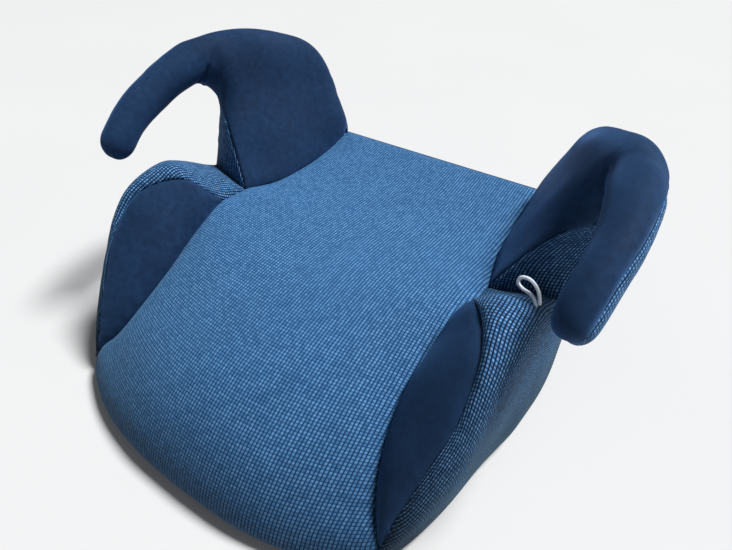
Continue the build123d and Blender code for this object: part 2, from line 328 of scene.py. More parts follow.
class Panel:
    """A sewn panel: welded quads with a weave map, turned to face away from an inner point."""

    def __init__(self, grids, inner, relaxed=6):
        points, weave, quads, start = [], [], [], 0
        for grid, cloth in grids:
            rows, columns = grid.shape[:2]
            index = start + np.arange(rows * columns).reshape(rows, columns)
            quads.append(np.stack([index[:-1, :-1], index[1:, :-1], index[1:, 1:], index[:-1, 1:]],
                                  axis=-1).reshape(-1, 4))
            points.append(grid.reshape(-1, 3))
            weave.append(cloth.reshape(-1, 2))
            start += rows * columns
        points, weave, quads = map(np.concatenate, (points, weave, quads))
        _, first, back = np.unique(np.round(points / WELD).astype(np.int64), axis=0, return_index=True,
                                   return_inverse=True)
        self.xyz, self.faces, self.weave = points[first], back.reshape(-1)[quads], weave[quads]
        sides = np.array([len(set(face)) for face in self.faces.tolist()])
        self.faces, self.weave = self.faces[sides > 2], self.weave[sides > 2]
        self.edges, self.rim_edges = self.find_edges()
        self.rim = np.unique(self.rim_edges)
        if (self.normals() * (self.xyz - np.array(inner))).sum() < 0:
            self.faces, self.weave = self.faces[:, ::-1], self.weave[:, ::-1]
            self.rim_edges = self.rim_edges[:, ::-1]
        self.relax(relaxed)

    def find_edges(self):
        """All edges, and the ones that only one face uses, in that face's order."""
        ring = np.concatenate([self.faces[:, [k, (k + 1) % 4]] for k in range(4)])
        ring = ring[ring[:, 0] != ring[:, 1]]
        edges, place, uses = np.unique(np.sort(ring, axis=1), axis=0, return_inverse=True, return_counts=True)
        return edges, ring[uses[place.reshape(-1)] == 1]

    def normals(self):
        """Area-weighted normal at each point."""
        a, b, c, d = (self.xyz[self.faces[:, k]] for k in range(4))
        across = np.cross(c - a, d - b)
        normal = np.zeros_like(self.xyz)
        for k in range(4):
            np.add.at(normal, self.faces[:, k], across)
        return normal / np.maximum(np.linalg.norm(normal, axis=1, keepdims=True), 1e-9)

    def relax(self, rounds, around=None, reach=1.0):
        """Smooth the points inside the rim towards their neighbours, or only the ones around a place."""
        rounds = int(round(rounds * (4 / SPACING) ** 2))
        amount = 0.5
        if around is not None:
            amount = 0.5 * np.exp(-((self.xyz - around) ** 2).sum(axis=1, keepdims=True) / reach**2)
        a, b = np.concatenate([self.edges, self.edges[:, ::-1]]).T
        count = np.bincount(a, minlength=len(self.xyz))[:, None]
        free = np.ones(len(self.xyz), bool)
        free[self.rim] = False
        for _ in range(rounds):
            total = np.zeros_like(self.xyz)
            np.add.at(total, a, self.xyz[b])
            self.xyz[free] += (amount * (total / np.maximum(count, 1) - self.xyz))[free]

    def mirrored(self):
        """The same panel on the other side."""
        twin = object.__new__(Panel)
        twin.xyz = self.xyz * (-1, 1, 1)
        twin.faces, twin.weave = self.faces[:, ::-1], self.weave[:, ::-1]
        twin.edges, twin.rim_edges, twin.rim = self.edges, self.rim_edges[:, ::-1], self.rim
        return twin


BLOCK = 4000  # points compared at a time


def nearest(points, targets):
    """Distance from each point to the nearest target, and which target it is."""
    distance, which = np.empty(len(points)), np.empty(len(points), int)
    for start in range(0, len(points), BLOCK):
        here = slice(start, start + BLOCK)
        square = (points[here]**2).sum(1)[:, None] + (targets**2).sum(1) - 2 * points[here] @ targets.T
        which[here] = square.argmin(axis=1)
        distance[here] = np.sqrt(np.maximum(square.min(axis=1), 0))
    return distance, which


WAVES = 9


def waves(points, length, seed):
    """Smooth random field from a few plane waves of about one wavelength."""
    draw = np.random.default_rng(seed)
    total = np.zeros(len(points))
    for _ in range(WAVES):
        heading = draw.normal(size=3)
        heading *= 2 * math.pi / length * draw.uniform(0.6, 1.4) / np.linalg.norm(heading)
        total += np.sin(points @ heading + draw.uniform(0, 2 * math.pi))
    return total / math.sqrt(WAVES)


# All in millimetres
SEAM_REACH = 2.5  # how far apart two panels' rims may be and still be one seam
TUCK = 4.0  # seam allowance, folded inwards
PUCKER_LENGTH, PUCKER_REACH = 13, 7  # along a seam, and away from it
SWELL_LENGTH, SWELL = 60, 0.35  # slow unevenness of the padding
CREASE_START = 4.0  # creases fade out this close to a seam

# Folds pressed into the cloth at each horn's root, with their depth and width. Both are written for +X
CREASES = {
    "left_armrest_inner_cover": (
        ((191, 73, 180), (189, 73.5, 188), (188, 75, 196), (187, 77.5, 203)), 5.0, 2.6),
    "right_armrest_inner_cover": (
        ((195.5, 58.5, 187), (193.5, 61.5, 191), (192, 65, 196), (191, 69, 202)), 5.0, 2.2),
}


def sew(panels, looks):
    """Sink every rim along its seam's shared direction, crown the fabric between, and fold the rim in."""
    rims = {name: (panel.xyz[panel.rim], panel.normals()[panel.rim]) for name, panel in panels.items()}
    for seed, (name, panel) in enumerate(panels.items()):
        sunk, roll, plump, pucker = looks[name]
        places, facing = rims[name]
        total = facing.copy()
        for other, (there, theirs) in rims.items():
            if other != name:
                gap, which = nearest(places, there)
                total += np.where(gap[:, None] < SEAM_REACH, theirs[which], 0)
        seam = total / np.maximum(np.linalg.norm(total, axis=1, keepdims=True), 1e-9)
        depth, which = nearest(panel.xyz, places)
        normal = panel.normals()
        sink = np.exp(-((depth / roll) ** 1.25))
        crown = 1 - np.exp(-depth / (roll * 3))
        ripple = waves(places, PUCKER_LENGTH, seed)[which] * np.exp(-depth / PUCKER_REACH)
        ripple *= 1 - np.exp(-depth / 1.5)
        soft = waves(panel.xyz, SWELL_LENGTH, seed + 50) * crown
        lift = plump * crown + pucker * ripple + SWELL * soft
        panel.xyz = panel.xyz + normal * lift[:, None] - seam[which] * (sunk * sink)[:, None]
        if name in CREASES:
            line, fold, width = CREASES[name]
            line = lengthen(net(line)[:, None])[:, 0] * (1 if name.startswith("left") else -1, 1, 1)
            reach, _ = nearest(panel.xyz, line)
            fold = fold * np.exp(-((reach / width) ** 2)) * (1 - np.exp(-depth / CREASE_START))
            panel.xyz -= normal * fold[:, None]
        panel.tucked = (panel.xyz[panel.rim] - seam * TUCK, panel.rim)


def add_tuck(panel):
    """Faces of the seam allowance round a panel's rim."""
    points, rim = panel.tucked
    place = np.full(len(panel.xyz), -1)
    place[rim] = len(panel.xyz) + np.arange(len(rim))
    a, b = panel.rim_edges.T
    flap = np.stack([b, a, place[a], place[b]], axis=-1)
    cloth = np.zeros((len(panel.xyz), 2))
    cloth[panel.faces.reshape(-1)] = panel.weave.reshape(-1, 2)
    edge = cloth[flap[:, :2]]
    flap_weave = np.concatenate([edge, edge[:, ::-1] + (0.0, TUCK)], axis=1)
    return (np.concatenate([panel.xyz, points]), np.concatenate([panel.faces, flap]),
            np.concatenate([panel.weave, flap_weave]))


def mesh_object(name, xyz, faces, material, weave=None):
    """Smooth mesh object from millimetre points; quads may repeat a point where they narrow to three."""
    polygons, corners = [], []
    cloth = np.zeros((len(faces), 4, 2)) if weave is None else weave
    for face, corner in zip(np.asarray(faces).tolist(), cloth.tolist()):
        ring = []
        for point, place in zip(face, corner):
            if point not in ring:
                ring.append(point)
                corners.append(place)
        polygons.append(ring)
    mesh = bpy.data.meshes.new(name)
    mesh.from_pydata((np.asarray(xyz) * MM).tolist(), [], polygons)
    if weave is not None:
        layer = mesh.uv_layers.new(name="weave")
        layer.data.foreach_set("uv", (np.array(corners) * MM).ravel())
    mesh.materials.append(material)
    mesh.shade_smooth()
    piece = bpy.data.objects.new(name, mesh)
    bpy.context.scene.collection.objects.link(piece)
    return piece


# -------------------- nets, left half, millimetres

# Seat panel's edge from the back to the underside, and its middle at the same stations, with how
# squarely each station's row bows between them
SEAT_EDGE = ((117, 195, 105), (116, 150, 98), (118, 105, 96), (124, 68, 97), (133, 37, 102.5),
             (131, 8, 105.5), (125.5, -35, 96.5), (122.5, -75, 80.5), (128, -107, 60.5),
             (140, -135, 36.7), (152.5, -151, 21), (154.3, -157, 7), (150, -151, 0.8))
SEAT_MIDDLE = ((0, 195, 105), (0, 150, 99), (0, 105, 97), (0, 68, 98), (0, 34, 101),
               (0, 5, 102), (0, -45, 99.5), (0, -95, 89.5), (0, -138, 72),
               (0, -173.5, 45), (0, -190, 21), (0, -193.5, 8), (0, -186.5, 0.8))
SEAT_BOW = (2, 2, 2, 2, 2, 2, 2, 2.1, 2.2, 2.4, 2.6, 2.7, 2.7)

# Side panel's rows from the throat's valley to the front: from the crest seam over the crest to the
# ridge, then down the outer wall to the edge on the underside
CREST = (
    ((133, 37, 102.5), (150, 41, 103), (168, 45, 105), (183, 49, 106), (190, 52, 106)),
    ((132, 24, 104), (148, 26, 111), (166, 28, 117), (181, 30, 118), (189.5, 31, 113)),
    ((131, 8, 105.5), (145, 9, 119), (162, 10, 129), (178, 11, 131), (188.5, 12, 125)),
    ((134, -3, 120), (146, -3, 131), (161, -2, 138), (178, -1, 138), (188.5, 0, 130.5)),
    ((143, -18.5, 138), (152, -17, 144.5), (164, -15, 147.5), (178, -14, 143.5), (188.5, -13, 133.5)),
    ((155.5, -35, 139.5), (163, -35.5, 145.5), (172, -35.5, 145), (181, -34, 140.5), (188, -33, 131)),
    ((167, -59.5, 133.5), (172.5, -61, 136.5), (178, -61.5, 133.5), (183.5, -61, 127), (187, -58, 116)),
    ((170.8, -79, 118), (175.5, -81, 117), (180, -82, 111.5), (183.5, -81, 104), (185.5, -77, 94)),
    ((171.5, -94, 102.5), (175, -96.5, 95), (178.5, -97.5, 87.5), (181.5, -97, 79.5), (183.5, -93, 69)),
    ((165.5, -113, 79), (169, -116, 71.5), (172.5, -117.5, 63.5), (175.5, -116, 55.5), (177.3, -110, 46)),
    ((160.5, -131, 55), (163, -133.5, 48), (165.5, -135, 41), (167.3, -134, 33.5), (168.3, -129, 26)),
    ((152.5, -151, 21), (153, -152.5, 18.5), (153.4, -153.8, 16), (153.7, -155, 13.5), (154, -156, 11)),
)
WALL = (
    ((194, 52, 85), (195, 52, 50), (193, 52, 14), (189.5, 52, 3), (180, 52, 0.8)),
    ((193.5, 31, 90), (195, 31, 50), (194, 31, 14), (190, 31, 3), (181, 31, 0.8)),
    ((193, 12, 96), (194.5, 12, 52), (193, 12, 14), (189, 12, 3), (180, 12, 0.8)),
    ((191, 0, 98), (192.5, -1, 53), (191.8, -1, 14), (188, -1, 3), (179, -1, 0.8)),
    ((190, -14, 99), (191.2, -15, 54), (190.5, -15, 14), (186.5, -15, 3), (177, -14, 0.8)),
    ((188.8, -33, 98), (188.5, -34, 54), (186.3, -34, 14), (182, -34, 3), (173, -33, 0.8)),
    ((188, -58, 88), (185.5, -58, 50), (181.2, -58, 14), (176.5, -57, 3), (168, -56, 0.8)),
    ((185, -77, 72), (182, -77, 43), (178, -77, 14), (173, -76, 3), (164.5, -74, 0.8)),
    ((182, -93, 52), (178.8, -93, 32), (175, -93, 13), (170, -92, 3), (161.5, -89, 0.8)),
    ((175.8, -110, 34), (173.8, -110, 23), (171, -110, 11), (166, -109, 3), (158, -105, 0.8)),
    ((168, -129, 19), (167, -129, 13), (165.3, -129, 8), (161.5, -128, 3), (154.5, -124, 0.8)),
    ((154.2, -156.5, 9), (154.3, -157, 6.5), (154, -156.5, 4), (152.5, -154.5, 2), (150, -151, 0.8)),
)
WALL_BACK = (
    ((176, 194, 106), (176, 194, 85), (175, 194, 50), (172.5, 194, 14), (168.5, 192, 3), (160, 186, 0.8)),
    ((185, 172, 106), (185, 173, 85), (183, 173, 50), (179.5, 172, 14), (176, 171, 3), (167, 168, 0.8)),
    ((190, 135, 106), (190.5, 135, 85), (188, 135, 50), (184, 135, 14), (180.5, 135, 3), (171, 134, 0.8)),
    ((191.5, 90, 106), (192.5, 90, 85), (191, 90, 50), (187.5, 90, 14), (184, 90, 3), (175, 90, 0.8)),
)

# Horn's centre line from its root to where the tip rounds off, with its half width and half height
HORN = ((208.3, 66, 203, 18.3, 20.5), (211.2, 50, 201.3, 18, 19.5), (213.6, 32, 196.8, 17, 19),
        (214.2, 15, 190, 16, 18.8), (212.8, -3, 183.3, 15, 18.5), (211.6, -18, 175.3, 14.5, 17.5),
        (210.6, -28, 168, 14.2, 16.8), (210, -35, 161.5, 13.8, 16))
# Where round its section the covers' rows run, in degrees: 0 is outwards, 90 up, 270 down
SEAM_TURN = 38
INNER_TURNS = (270, 225, 180, 135, 95, 65, SEAM_TURN)
OUTER_TURNS = (SEAM_TURN, 333, 270)
SEAM_EASE = (0.15, 0.6, 0.9)  # share of the seam's turn at the horn's first stations, from the root
TIP_TURNS = (28, 55, 76, 90)  # degrees round the tip, for its rings
TIP_REACH = (11, 15)  # how far the left and the right tip stand out
LEFT_TIP = (0, 2.6, 2.2)  # the left horn's last station, from where the right one's is
# Inner cover behind the horn, rows from the front to the back. The low part runs from the seat's
# seam to the throat's height, and the high part from there over the crown to the outer seam
INNER_LOW = (
    ((133, 37, 102.5), (146, 45.5, 124.5), (160, 54, 144.5), (175, 62.5, 158)),
    ((128, 55, 98.5), (142, 63, 123), (156, 69, 148), (168, 74, 166)),
    ((122.5, 75, 96), (137, 79, 122), (151, 83, 149), (162.5, 86, 170)),
    ((118, 105, 96), (130, 111, 122), (144, 115, 150), (154.5, 118, 172)),
    ((116, 145, 97.5), (124, 149, 121), (135, 152, 146), (144.5, 153, 167)),
    ((115.8, 172, 101), (120.5, 177, 120), (129, 180, 141), (137, 181, 157.5)),
    ((116.5, 188, 104), (119, 191, 116), (125, 192, 131), (131, 192, 142.5)),
)
INNER_HIGH = (
    ((203, 77.5, 175.5), (192.5, 75, 181.5), (188.5, 71.5, 200), (193, 71, 218.5), (207, 70.5, 223.5),
     (219, 70.5, 215.5), (226.8, 70.5, 202)),
    ((192, 75, 166), (188, 76, 177), (186.5, 76, 197.5), (192, 75.5, 218.5), (206, 75, 224),
     (218, 74.5, 215), (226.8, 74.5, 200.5)),
    ((175, 62.5, 158), (180, 71.5, 171), (183.5, 77.5, 195.5), (190.5, 79, 218), (204, 79, 224.5),
     (216.5, 79, 215.5), (226.6, 79.5, 200)),
    ((168, 74, 166), (172, 79.5, 180.5), (179, 83, 199.5), (188.5, 83.5, 217.5), (202, 83.5, 225),
     (213.5, 83.5, 216.5), (225.6, 84, 199.5)),
    ((162.5, 86, 170), (168.5, 89, 184), (175, 90, 199), (185, 91, 216), (199, 91, 225),
     (212.5, 91, 218), (224, 92, 201)),
    ((154.5, 118, 172), (158.5, 119, 184), (163, 120, 196.5), (170, 120, 208), (184, 119, 215),
     (199, 118, 210.5), (210, 117, 194)),
    ((144.5, 153, 167), (148, 154, 176), (153, 155, 186), (160.5, 155, 194.5), (172, 154, 199.5),
     (186, 152, 193.5), (197.5, 150, 180)),
    ((137, 181, 157.5), (140.5, 182, 166), (145, 182, 173.5), (151.5, 182, 180), (162.5, 180, 184.5),
     (175.5, 177, 179), (185, 174, 168)),
    ((131, 192, 142.5), (134, 192.5, 150), (138, 192.5, 157), (143.5, 192, 163), (152, 190.5, 167.5),
     (162.5, 188, 164), (170.5, 185.5, 155)),
)
# How much taller the right armrest's crown is padded, for the high part's rows and columns, and how far
# its rear leans in. The horn's stations have their own change of height and of half height
TALLER_ROWS = (2.6, 2.6, 2.6, 3.2, 3.2, 11.5, 16.5, 17, 12)
TALLER_COLUMNS = (0.3, 0.45, 0.6, 0.85, 1, 0.95, 0.85)
TALLER_LEAN = 4.0
TALLER_HORN = ((0.8, 0), (-0.5, -1.5), (-1.7, -1.8), (-1.7, -1.7), (-1.6, -1.6), (-1.6, -1.6),
               (-1.2, -1.2), (-0.6, -0.6))
# Outer cover: from the outer seam under the flare to the throat's height, then down the wall
OUTER_HIGH = (
    ((226.8, 70.5, 202), (223, 76, 187), (209.5, 79, 178)),
    ((226.8, 74.5, 200.5), (222, 80, 184), (208, 85, 171)),
    ((226.6, 79.5, 200), (220, 84, 180), (203, 85, 158)),
    ((225.6, 84, 199.5), (218.5, 88, 179.5), (200.5, 90, 157)),
    ((224, 92, 201), (214.5, 96, 178), (198, 98, 156.5)),
    ((210, 117, 194), (205, 119, 175), (194, 119, 156)),
    ((197.5, 150, 180), (195, 152, 168), (189, 152, 153)),
    ((185, 174, 168), (185.5, 178, 158), (183.8, 178, 146)),
    ((170.5, 185.5, 155), (174.5, 190, 146), (177.5, 192, 135)),
)
OUTER_LOW = (
    ((203, 85, 158), (196, 72, 142), (191.5, 60, 122), (190, 52, 106)),
    ((200.5, 90, 157), (194.5, 80, 142), (191.5, 73, 122), (191, 68, 106)),
    ((198, 98, 156.5), (193.5, 93, 142), (191.5, 90, 122), (191.5, 90, 106)),
    ((194, 119, 156), (192.3, 118, 142), (191, 117, 122), (190.8, 117, 106)),
    ((189, 152, 153), (188.8, 152, 140), (188.5, 152, 122), (188, 152, 106)),
    ((183.8, 178, 146), (183.5, 178, 135), (183, 178, 121), (182.5, 178, 106)),
    ((177.5, 192, 135), (177.5, 193, 127), (177, 193.5, 117), (176, 194, 106)),
)
# Throat gusset, rows from its foot up to its point under the horn
GUSSET = (
    ((133, 37, 102.5), (150, 41, 103), (168, 45, 105), (183, 49, 106), (190, 52, 106)),
    ((146, 45.5, 124.5), (157, 47, 124), (169, 50, 123.5), (181, 55, 123), (191.5, 60, 122)),
    ((160, 54, 144.5), (169, 56, 144), (178, 60, 143.5), (188, 66, 143), (196, 72, 142)),
    ((175, 62.5, 158), (182, 67, 159), (190, 74, 159.5), (198, 80.5, 159), (203, 85, 158)),
    ((192, 75, 166), (196, 77.5, 168), (200.5, 80.5, 169.5), (204.5, 83, 170.5), (208, 85, 171)),
    ((203, 77.5, 175.5), (205, 78, 176.5), (206.5, 78.3, 177), (208, 78.7, 177.5), (209.5, 79, 178)),
    ((209.5, 66, 182.5),) * 5,
)
# Back panel's heights, and how far behind the back edge each lies, below zero in front of it
BACK_Y = 195
BACK_ROWS = ((106, 0), (85, 0), (50, 0), (14, 0), (3, -2.5), (0.8, -8))
# Armrest's rear face, along its foot from the seat's seam
REAR_FOOT = ((116.5, 188, 104), (117, 195, 105), (150, 195, 105.5))
REAR_FOOT_LENGTH, REAR_BULGE = 66, 2.0
# Inner cover's softest place, where the horn runs into the crown
SHOULDER, SHOULDER_REACH, SHOULDER_ROUNDS = (193, 74, 210), 12, 12
# Rows of the nets where the weave of a panel's two parts lines up
WALL_CROSSING, ARM_CROSSING = 9, 15
# Widths that set the number of mesh steps across the panels
SEAT_HALF, INSET_ACROSS, REAR_ACROSS, BACK_HALF = 130, 56, 24, 176


def horn_rows(turns, taller):
    """Net rows round the horn from its tip to its root, at the given angles."""
    line = net(HORN)
    line[-1, :3] += (1 - taller) * net(LEFT_TIP)
    line[:, [2, 4]] += taller * net(TALLER_HORN)
    run = np.gradient(line[:, :3], axis=0)
    run /= np.linalg.norm(run, axis=1, keepdims=True)
    run[0] = (0, -1, 0)
    out = np.array((1.0, 0, 0)) - run[:, :1] * run
    out /= np.linalg.norm(out, axis=1, keepdims=True)
    rise = np.cross(run, out)
    rise *= np.sign(rise[:, 2:])

    def ring(number, ahead, share):
        ease = SEAM_EASE[number] if number < len(SEAM_EASE) else 1
        eased = [turn * ease if turn == SEAM_TURN else turn for turn in turns]
        angle = np.radians(eased)[:, None]
        centre = line[number, :3] + run[number] * ahead
        wide, tall = line[number, 3:] * share
        return centre + wide * np.cos(angle) * out[number] + tall * np.sin(angle) * rise[number]

    rings = [ring(number, 0, 1) for number in range(len(line))]
    for turn in np.radians(TIP_TURNS):
        rings.append(ring(len(line) - 1, TIP_REACH[taller] * math.sin(turn), max(math.cos(turn), 0)))
    return np.array(rings[::-1])


def two_part(high, low, crossing):
    """L-shaped panel: the high net's first column carries on as the low net's last, from one row on."""
    knots = knots_of(high)
    places = places_between(knots)
    top = lengthen(high, knots, places)
    below = knots[len(high) - len(low):]
    bottom = lengthen(low, below, places[places >= below[0] - 1e-6])
    start = len(top) - len(bottom)
    bottom[:, -1] = top[start:, 0]
    top, bottom = widen(top), widen(bottom)
    anchor = int(np.searchsorted(places, knots[crossing]))
    upper = weave_of(top, anchor, 0)
    lower = weave_of(bottom, anchor - start, -1)
    lower[..., 0] += upper[start:, 0, 0][:, None]
    lower[..., 1] += upper[anchor, 0, 1]
    return [(top, upper), (bottom, lower)], top, bottom


def seat_grid():
    """Seat panel: rows across, from the back edge over the front roll to the underside."""
    edge, middle = net(SEAT_EDGE), net(SEAT_MIDDLE)
    knots = knots_of(middle[:, None])
    places = places_between(knots)
    bow = through(knots, net(SEAT_BOW)[:, None], places)
    edge, middle = through(knots, edge, places), through(knots, middle, places)
    share = np.linspace(-1, 1, 2 * steps(SEAT_HALF) + 1)
    grid = np.empty((len(places), len(share), 3))
    grid[..., 0] = edge[:, :1] * share
    curve = np.abs(share) ** bow
    grid[..., 1:] = middle[:, None, 1:] + (edge - middle)[:, None, 1:] * curve[..., None]
    cloth = np.stack(np.broadcast_arrays(grid[..., 0], -places[:, None]), axis=-1)
    return grid, cloth


def inset_grid():
    """Bolster's inner face, a lens between the seat seam and the crest seam."""
    low = lengthen(net([point for point in SEAT_EDGE if -152 < point[1] < 9])[:, None])[:, 0]
    high = lengthen(net([row[0] for row in CREST if row[0][1] < 9])[:, None])[:, 0]
    share = np.linspace(0, 1, len(high))
    across = np.linspace(0, 1, steps(INSET_ACROSS) + 1)[:, None]
    grid = spread(high, share)[:, None] * (1 - across) + spread(low, share)[:, None] * across
    bulge = np.sin(math.pi * across[:, 0])[None] * np.sin(math.pi * share)[:, None]
    grid += bulge[..., None] * np.array((-3.0, 0, 2.5))
    return grid, weave_of(grid, len(grid) // 2, 0)


def rear_grid(inner, outer):
    """Armrest's rear face, ruled between the inner cover's last row and the outer cover's."""
    foot = np.concatenate([net(REAR_FOOT), outer[:1]])
    second = np.concatenate([spread(foot, np.linspace(0, 1, steps(REAR_FOOT_LENGTH) + 1))[:-1], outer])
    reach = lengths(second)
    first = spread(inner, reach / reach[-1])
    across = np.linspace(0, 1, steps(REAR_ACROSS) + 2)[:, None]
    grid = first[:, None] * (1 - across) + second[:, None] * across
    grid[..., 1] += REAR_BULGE * np.sin(math.pi * across[:, 0])
    return grid, grid[..., [0, 2]]


def back_grid():
    """Back panel between the side panels, from the top edge to the underside."""
    share = np.linspace(-1, 1, 2 * steps(BACK_HALF) + 1)
    corner_share = np.abs(share) ** 8
    rows = []
    for (height, inwards), corner in zip(BACK_ROWS, net(WALL_BACK[0])):
        row = np.empty((len(share), 3))
        row[:, 0] = corner[0] * share
        row[:, 1] = BACK_Y + inwards + (corner[1] - BACK_Y - inwards) * corner_share
        row[:, 2] = height - 1 + (corner[2] - height + 1) * corner_share
        rows.append(row)
    grid = lengthen(np.array(rows))
    return grid, np.stack([grid[..., 0], grid[..., 2]], axis=-1)


seat, seat_cloth = seat_grid()
back, back_cloth = back_grid()
panels = {"seat_panel": Panel([(seat, seat_cloth)], (0, 0, 20), 3),
          "back_panel": Panel([(back, back_cloth)], (0, 100, 50), 3)}

wall = np.concatenate([net([row[-1] for row in CREST])[:, None], net(WALL)], axis=1)
wall = np.concatenate([net(WALL_BACK), wall])
side_grids, side_wall, _ = two_part(wall, net(CREST), WALL_CROSSING)


# Points inside, which the panels face away from
ARM_HEART, OUTER_HEART, GUSSET_HEART = (205, 100, 150), (180, 100, 150), (180, 120, 130)


def arm_panels(taller):
    """Inner cover, outer cover and gusset of one armrest; taller is 1 for the right one's extra height."""
    lift = taller * np.outer(TALLER_ROWS, TALLER_COLUMNS)
    high, low, outer_high, gusset = net(INNER_HIGH), net(INNER_LOW), net(OUTER_HIGH), net(GUSSET)
    high[..., 2] += lift
    high[-2:, :5, 0] -= taller * TALLER_LEAN
    low[-2:, 1:, 0] -= taller * TALLER_LEAN
    low[..., 2] += lift[2:, :1] * (0, 1 / 3, 2 / 3, 1)
    outer_high[..., 2] += lift[:, -1:] * (1, 0.5, 0.1)
    gusset[3:6, :, 2] += lift[0, 0] * np.linspace(1, 0.1, gusset.shape[1])
    gusset[6, :, 2] += taller * TALLER_HORN[0][0]
    high = np.concatenate([horn_rows(INNER_TURNS, taller), high])
    outer_high = np.concatenate([horn_rows(OUTER_TURNS, taller), outer_high])[:, ::-1]
    inner_grids, inner_top, inner_bottom = two_part(high, low, ARM_CROSSING)
    outer_grids, outer_top, outer_bottom = two_part(outer_high, net(OUTER_LOW)[:, ::-1], ARM_CROSSING)
    inner_end = np.concatenate([inner_bottom[-1], inner_top[-1][1:]])
    outer_end = np.concatenate([outer_bottom[-1], outer_top[-1][1:]])
    inner_cover = Panel(inner_grids, ARM_HEART)
    inner_cover.relax(SHOULDER_ROUNDS, SHOULDER, SHOULDER_REACH)
    gusset = widen(lengthen(gusset))
    return {
        "armrest_inner_cover": inner_cover,
        "armrest_outer_cover": Panel(outer_grids + [rear_grid(inner_end, outer_end)], OUTER_HEART),
        "throat_gusset": Panel([(gusset, weave_of(gusset, 0, gusset.shape[1] // 2))], GUSSET_HEART),
    }


bolster = {"bolster_inset": Panel([inset_grid()], (200, -60, 20)),
           "side_panel": Panel(side_grids, (140, 0, 30))}
for name, panel in {**bolster, **arm_panels(0)}.items():
    panels["left_" + name] = panel
for name, panel in {**bolster, **arm_panels(1)}.items():
    panels["right_" + name] = panel.mirrored()

# Sunk seam, its roll, the crown and the puckers, in millimetres
LOOKS = {
    "seat_panel": (2.6, 4.5, 1.5, 0.45),
    "back_panel": (2.0, 3.0, 0.5, 0.3),
    "bolster_inset": (2.4, 3.5, 2.0, 0.4),
    "side_panel": (2.0, 3.0, 1.0, 0.3),
    "armrest_inner_cover": (1.5, 3.2, 1.2, 0.3),
    "armrest_outer_cover": (1.5, 3.0, 0.8, 0.3),
    "throat_gusset": (1.4, 3.0, 0.8, 0.6),
}
# The other panels are of the side check
CLOTH = {
    "seat_panel": (SEAT_CHECK, "seat_check"),
    "bolster_inset": (NAVY_KNIT, "navy_knit"),
    "armrest_inner_cover": (NAVY_KNIT, "navy_knit"),
}
CLOTH_THICKNESS = 1.6


def kind_of(name):
    """A panel's name without its side."""
    return name.removeprefix("left_").removeprefix("right_")


def thicken(piece, thickness, offset):
    """Give a sheet its cloth's thickness: offset -1 is inwards, 0 to both sides."""
    cloth = piece.modifiers.new("cloth thickness", "SOLIDIFY")
    cloth.thickness = thickness * MM
    cloth.offset = offset


sew(panels, {name: LOOKS[kind_of(name)] for name in panels})
for name, panel in panels.items():
    material, slot = CLOTH.get(kind_of(name), (SIDE_CHECK, "side_check"))
    points, faces, cloth = add_tuck(panel)
    piece = mesh_object("sewn_" + name, points, faces, material, cloth)
    thicken(piece, CLOTH_THICKNESS, -1)
    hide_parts(name)
    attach(piece, "root")

# -------------------- loop

LOOP_RADIUS = 1.2
LOOP_ROUTE = ((181.5, 3.0, 136.5), (180.2, 3.8, 143.0), (176.0, 4.6, 149.5), (170.0, 5.2, 153.0),
              (164.0, 5.6, 151.0), (163.0, 5.4, 145.5), (167.5, 4.4, 142.6), (173.5, 3.2, 142.6),
              (178.0, 1.6, 140.0), (180.0, 0.6, 135.0))


def make_loop():
    """Small loop of white elastic cord standing out of the bolster's crest."""
    curve = bpy.data.curves.new("elastic_loop", "CURVE")
    curve.dimensions = "3D"
    curve.bevel_depth = LOOP_RADIUS * MM
    curve.bevel_resolution = 6
    curve.resolution_u = 16
    curve.use_fill_caps = True
    spline = curve.splines.new("NURBS")
    spline.points.add(len(LOOP_ROUTE) - 1)
    for point, place in zip(spline.points, LOOP_ROUTE):
        point.co = (*(value * MM for value in place), 1)
    spline.order_u = 3
    spline.use_endpoint_u = True
    curve.materials.append(LOOP_ELASTIC)
    loop = bpy.data.objects.new("elastic_loop", curve)
    bpy.context.scene.collection.objects.link(loop)
    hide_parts("loop")
    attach(loop, "root")


make_loop()

# -------------------- hem and inside


def finish_piece(piece, slot, *nodes):
    """The piece rides on the body and stands for its nodes."""
    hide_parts(*nodes)
    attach(piece, "root")


def loft(rows, ends=True):
    """Points and faces through closed rows, the ends filled to their middles."""
    if ends:
        rows = np.concatenate([np.broadcast_to(rows[0].mean(0), rows[:1].shape), rows,
                               np.broadcast_to(rows[-1].mean(0), rows[:1].shape)])
    index = np.arange(rows.shape[0] * rows.shape[1]).reshape(rows.shape[:2])
    if ends:
        index[0], index[-1] = index[0, 0], index[-1, 0]
    turned = np.roll(index, -1, axis=1)
    quads = np.stack([index[:-1], turned[:-1], turned[1:], index[1:]], axis=-1).reshape(-1, 4)
    used, place = np.unique(quads, return_inverse=True)
    return rows.reshape(-1, 3)[used], place.reshape(quads.shape)


HEM_POINTS = 900
# How far in from the cover's lower edge the hem's section runs, and how high
HEM_PROFILE = ((-1.5, 3.6), (1, 2.4), (5, 1.8), (10, 1.8), (17, 2.0), (24, 1.8), (26.5, 1.4), (28.3, 1.8),
               (28.9, 3.0), (27.9, 4.1), (26.4, 3.9), (26.0, 3.0))
HEM_SWING, HEM_THICKNESS, HEM_LOWEST = 0.75, 0.7, 0.9

lower_edge = np.concatenate([seat[-1], side_wall[::-1, -1], back[-1][::-1], side_wall[:, -1] * (-1, 1, 1)])
lower_edge = even_loop(lower_edge, HEM_POINTS)
along = np.roll(lower_edge, -4, axis=0) - np.roll(lower_edge, 4, axis=0)
inwards = np.stack([-along[:, 1], along[:, 0], 0 * along[:, 0]], axis=1)
inwards /= np.linalg.norm(inwards, axis=1, keepdims=True)


